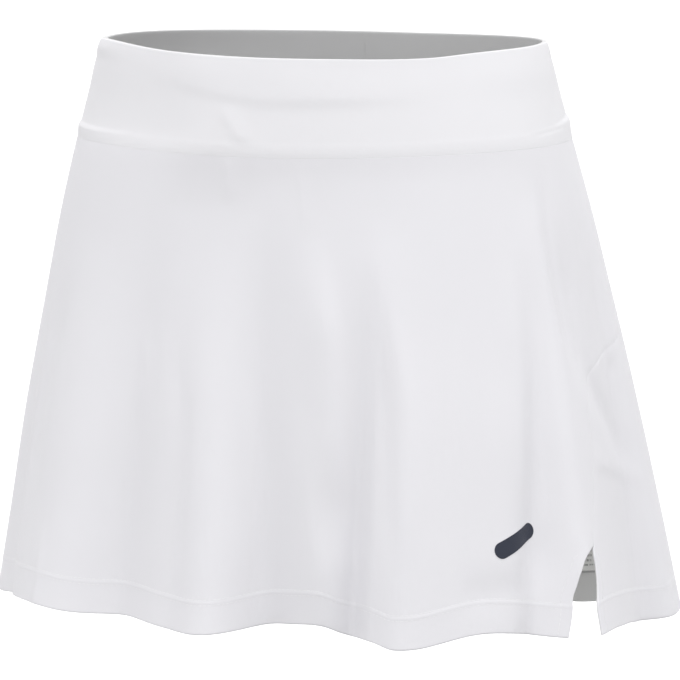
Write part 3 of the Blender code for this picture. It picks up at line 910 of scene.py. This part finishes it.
def hem_stitches(name, side, thread):
    """A panel's stitches outside, along the hem and the slit."""
    rows = [hem_path(side, above) for above in NEEDLE_ROWS] + [slit_path(side)]
    return stitches(name, rows, thread, lift=HEM_RIDGE / 3 - NEEDLE_DEPTH)


def hem_loops(name, side, thread):
    """A panel's loops inside the hem, which zigzag between its two rows."""
    rows = [hem_path(side, sum(NEEDLE_ROWS) / 2)]
    return stitches(name, rows, thread, lift=-TURNED, length=LOOP_LENGTH, pitch=LOOP_PITCH,
                    lean=LOOP_LEAN, outward=-1.0)


# ---- label and mark

LABEL_ANGLE = 136.0
LABEL_WIDTH, LABEL_LENGTH, LABEL_WALL = 0.0400, 0.0470, 0.0005
LABEL_LIFT = -0.0019  # its face against the cloth, inwards from the cloth's outside
LABEL_CURL, CURL_REACH = 0.0005, 0.012  # its lower end stands off the cloth
LABEL_ROWS, LABEL_COLUMNS = 36, 32
SATIN_RIB = 0.00042
PRINT_PITCH = 0.0031
PRINT_HEIGHT = 0.46  # of the pitch
PRINT_MARGIN, PRINT_TOP_MARGIN = 0.0035, 0.0080
DASHES_PER_METRE = 620.0
DASH_BREAKS = 0.47  # noise below this leaves a gap
LINE_OFFSET = 7.3  # noise shift from line to line
INK_STRENGTH = 0.8


def label(material):
    """A woven label inside the back panel, its lower end at the hem's stitching."""
    across = np.linspace(-0.5, 0.5, LABEL_COLUMNS) * LABEL_WIDTH
    up = np.linspace(1.0, 0.0, LABEL_ROWS) * LABEL_LENGTH
    u, v = np.meshgrid(across, up)
    foot = hem_drop(LABEL_ANGLE) - HEM_HEIGHT - HEM_MARGIN
    angle = LABEL_ANGLE + np.degrees(u / plain_radius(LABEL_ANGLE, foot))
    drop = hem_drop(angle) - HEM_HEIGHT - HEM_MARGIN - v
    away = np.minimum(LABEL_WIDTH / 2 - abs(u), np.minimum(v, LABEL_LENGTH - v))
    drawn = rounded(np.maximum(away, 0.0), LABEL_WALL)
    curl = LABEL_CURL * (1 - smooth(v / CURL_REACH))
    radius = skin(angle, drop) + LABEL_LIFT - curl
    outside = place(angle, drop, radius - drawn)
    inside = place(angle, drop, radius - LABEL_WALL + drawn)
    piece = shell("care_label_cloth", outside, inside, [material, material])
    flat = np.stack([u, v], axis=-1)
    set_map(piece, "label", np.concatenate([flat.reshape(-1, 2), flat[1:-1, 1:-1].reshape(-1, 2)]))
    return piece


MARK_ANGLE = 53.0
MARK_DROP = 0.2905
MARK_LENGTH, MARK_HEIGHT = 0.0345, 0.0100
MARK_TURN = math.radians(22)
MARK_LIFT = 0.00016  # its middle off the cloth's outside
MARK_WALL = 0.00010  # half its thickness
MARK_END = 0.0003  # half the height left at its very ends
MARK_COLUMNS, MARK_ROWS = 90, 36


def mark(material):
    """A plain bar with round ends, where the garment carries a printed mark."""
    end = MARK_HEIGHT / 2
    x = MARK_LENGTH / 2 * np.sin(np.linspace(-0.5, 0.5, MARK_COLUMNS) * math.pi)[None, :]
    past = np.clip(abs(x) - (MARK_LENGTH / 2 - end), 0.0, end)
    half = np.maximum(np.sqrt(end**2 - past**2), MARK_END)
    y = half * np.sin(np.linspace(0.5, -0.5, MARK_ROWS) * math.pi)[:, None]
    x = x * np.ones_like(y)
    edge = np.minimum(half - abs(y), MARK_LENGTH / 2 - abs(x))
    wall = MARK_WALL * smooth(edge / (2 * MARK_WALL))
    around = x * math.cos(MARK_TURN) - y * math.sin(MARK_TURN)
    up = x * math.sin(MARK_TURN) + y * math.cos(MARK_TURN)
    angle = MARK_ANGLE + np.degrees(around / plain_radius(MARK_ANGLE, MARK_DROP))
    drop = MARK_DROP - up
    radius = skin(angle, drop) + MARK_LIFT
    outside, inside = place(angle, drop, radius + wall), place(angle, drop, radius - wall)
    piece = shell("printed_mark", outside, inside, [material, material])
    set_grain(piece, 0.0)
    return piece


# ---- stage

CAMERA_AZIMUTH = math.radians(14)
CAMERA_DISTANCE = 6.0
CAMERA_ABOVE = math.radians(4.6)
AIM_HEIGHT = -0.175
AIM_RIGHT, AIM_DOWN = 0.0098, 0.0084  # how far the whole view is shifted
LENS, SENSOR = 519.6, 36.0
FLOOR_HEIGHT, FLOOR_RADIUS = -1.05, 60.0
FLOOR_COLOR = (0.95, 0.95, 0.95)
# Strength of the white all round, from one height of a ray's direction to another.
SURROUNDINGS = {"From Min": -0.55, "From Max": -0.10, "To Min": 0.321, "To Max": 0.916}

Lamp = namedtuple("Lamp", "name azimuth elevation strength")
LAMPS = (  # angles in degrees
    Lamp("key", 74, 65, 1.495),
    Lamp("fill", -16, 35, 0.692),
    Lamp("side", -76, 5, 0.209),
    Lamp("back", 194, 35, 0.45),
)
LAMP_SPREAD = math.radians(40)


def camera():
    data = bpy.data.cameras.new("camera")
    data.lens, data.sensor_width, data.sensor_fit = LENS, SENSOR, "HORIZONTAL"
    data.clip_start, data.clip_end = 0.1, 200.0
    obj = into_scene("camera", data)
    way = Vector((math.sin(CAMERA_AZIMUTH), -math.cos(CAMERA_AZIMUTH), math.tan(CAMERA_ABOVE)))
    spot = way * CAMERA_DISTANCE
    look = Vector((0, 0, AIM_HEIGHT)) - spot
    right = Vector((math.cos(CAMERA_AZIMUTH), math.sin(CAMERA_AZIMUTH), 0))
    up = right.cross(look).normalized()
    obj.location = spot + right * AIM_RIGHT - up * AIM_DOWN
    obj.rotation_mode = "QUATERNION"
    obj.rotation_quaternion = look.to_track_quat("-Z", "Y")
    bpy.context.scene.camera = obj


def light(lamp):
    """A wide, soft light."""
    data = bpy.data.lights.new(lamp.name, "SUN")
    data.energy, data.angle = lamp.strength, LAMP_SPREAD
    obj = into_scene(lamp.name, data)
    a, e = math.radians(lamp.azimuth), math.radians(lamp.elevation)
    back = Vector((math.sin(a) * math.cos(e), -math.cos(a) * math.cos(e), math.sin(e)))
    obj.rotation_mode = "QUATERNION"
    obj.rotation_quaternion = back.to_track_quat("Z", "Y")


def lay_floor():
    nodes = Nodes("studio_floor", FLOOR_COLOR)
    tone = nodes.mixed(nodes.noise(scale=0.4), (0.93, 0.93, 0.93), FLOOR_COLOR)
    grit = nodes.bump(nodes.noise(scale=40.0), distance=0.0002)
    material = nodes.finish(tone, 0.9, grit, Specular_IOR_Level=0.1)
    bpy.ops.mesh.primitive_circle_add(vertices=96, radius=FLOOR_RADIUS, fill_type="NGON",
                                      location=(0, 0, FLOOR_HEIGHT))
    floor = bpy.context.object
    floor.name = "studio_floor"
    floor.data.materials.append(material)
    floor.visible_diffuse = floor.visible_shadow = False  # soft light comes up from below as well


def surroundings():
    """White all round, dimmer below."""
    world = bpy.data.worlds.new("studio")
    world.use_nodes = True
    tree = world.node_tree
    way = tree.nodes.new("ShaderNodeTexCoord").outputs["Generated"]
    height = tree.nodes.new("ShaderNodeSeparateXYZ")
    rise = tree.nodes.new("ShaderNodeMapRange")
    rise.interpolation_type = "SMOOTHSTEP"
    tree.links.new(way, height.inputs[0])
    tree.links.new(height.outputs["Z"], rise.inputs["Value"])
    for name, value in SURROUNDINGS.items():
        rise.inputs[name].default_value = value
    background = tree.nodes["Background"]
    tree.links.new(rise.outputs[0], background.inputs["Strength"])
    background.inputs["Color"].default_value = (1.0, 1.0, 1.0, 1.0)
    bpy.context.scene.world = world


def stage():
    lay_floor()
    surroundings()
    for lamp in LAMPS:
        light(lamp)
    camera()
    bpy.context.scene.view_settings.view_transform = "Standard"


# ---- the skirt


def main():
    knit_out = knit("white_knit", KNIT_OUT, relief=0.00005)
    knit_in = knit("knit_inside", KNIT_IN, relief=0.00004)
    band_out = knit("band_knit", BAND_OUT, relief=0.00005)
    # the band's inside carries painted shade for the shade inside the waist opening
    band_in_painted_shade = knit("band_inside_painted_shade", BAND_IN_PAINTED_SHADE, relief=0.00004)
    thread = thread_finish()
    band = waistband([band_out, band_in_painted_shade])
    front = panel("front_panel_cloth", "forward", [knit_out, knit_in])
    back = panel("back_panel_cloth", "backward", [knit_out, knit_in])
    tag = label(label_finish())
    badge = mark(mark_finish())
    for piece, middle in ((band, 0.0), (front, 0.0), (back, 180.0)):
        set_grain(piece, middle)
    front_hem = hem_stitches("front_hem_stitches", "forward", thread)
    back_hem = hem_stitches("back_hem_stitches", "backward", thread)
    front_loops = hem_loops("front_hem_loops", "forward", thread)
    back_loops = hem_loops("back_hem_loops", "backward", thread)
    for piece in (band, front, back, tag, badge, front_hem, back_hem, front_loops, back_loops):
        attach(piece, "root")
    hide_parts("waistband")
    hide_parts("front_panel")
    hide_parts("back_panel")
    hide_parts("care_label")
    stage()


main()
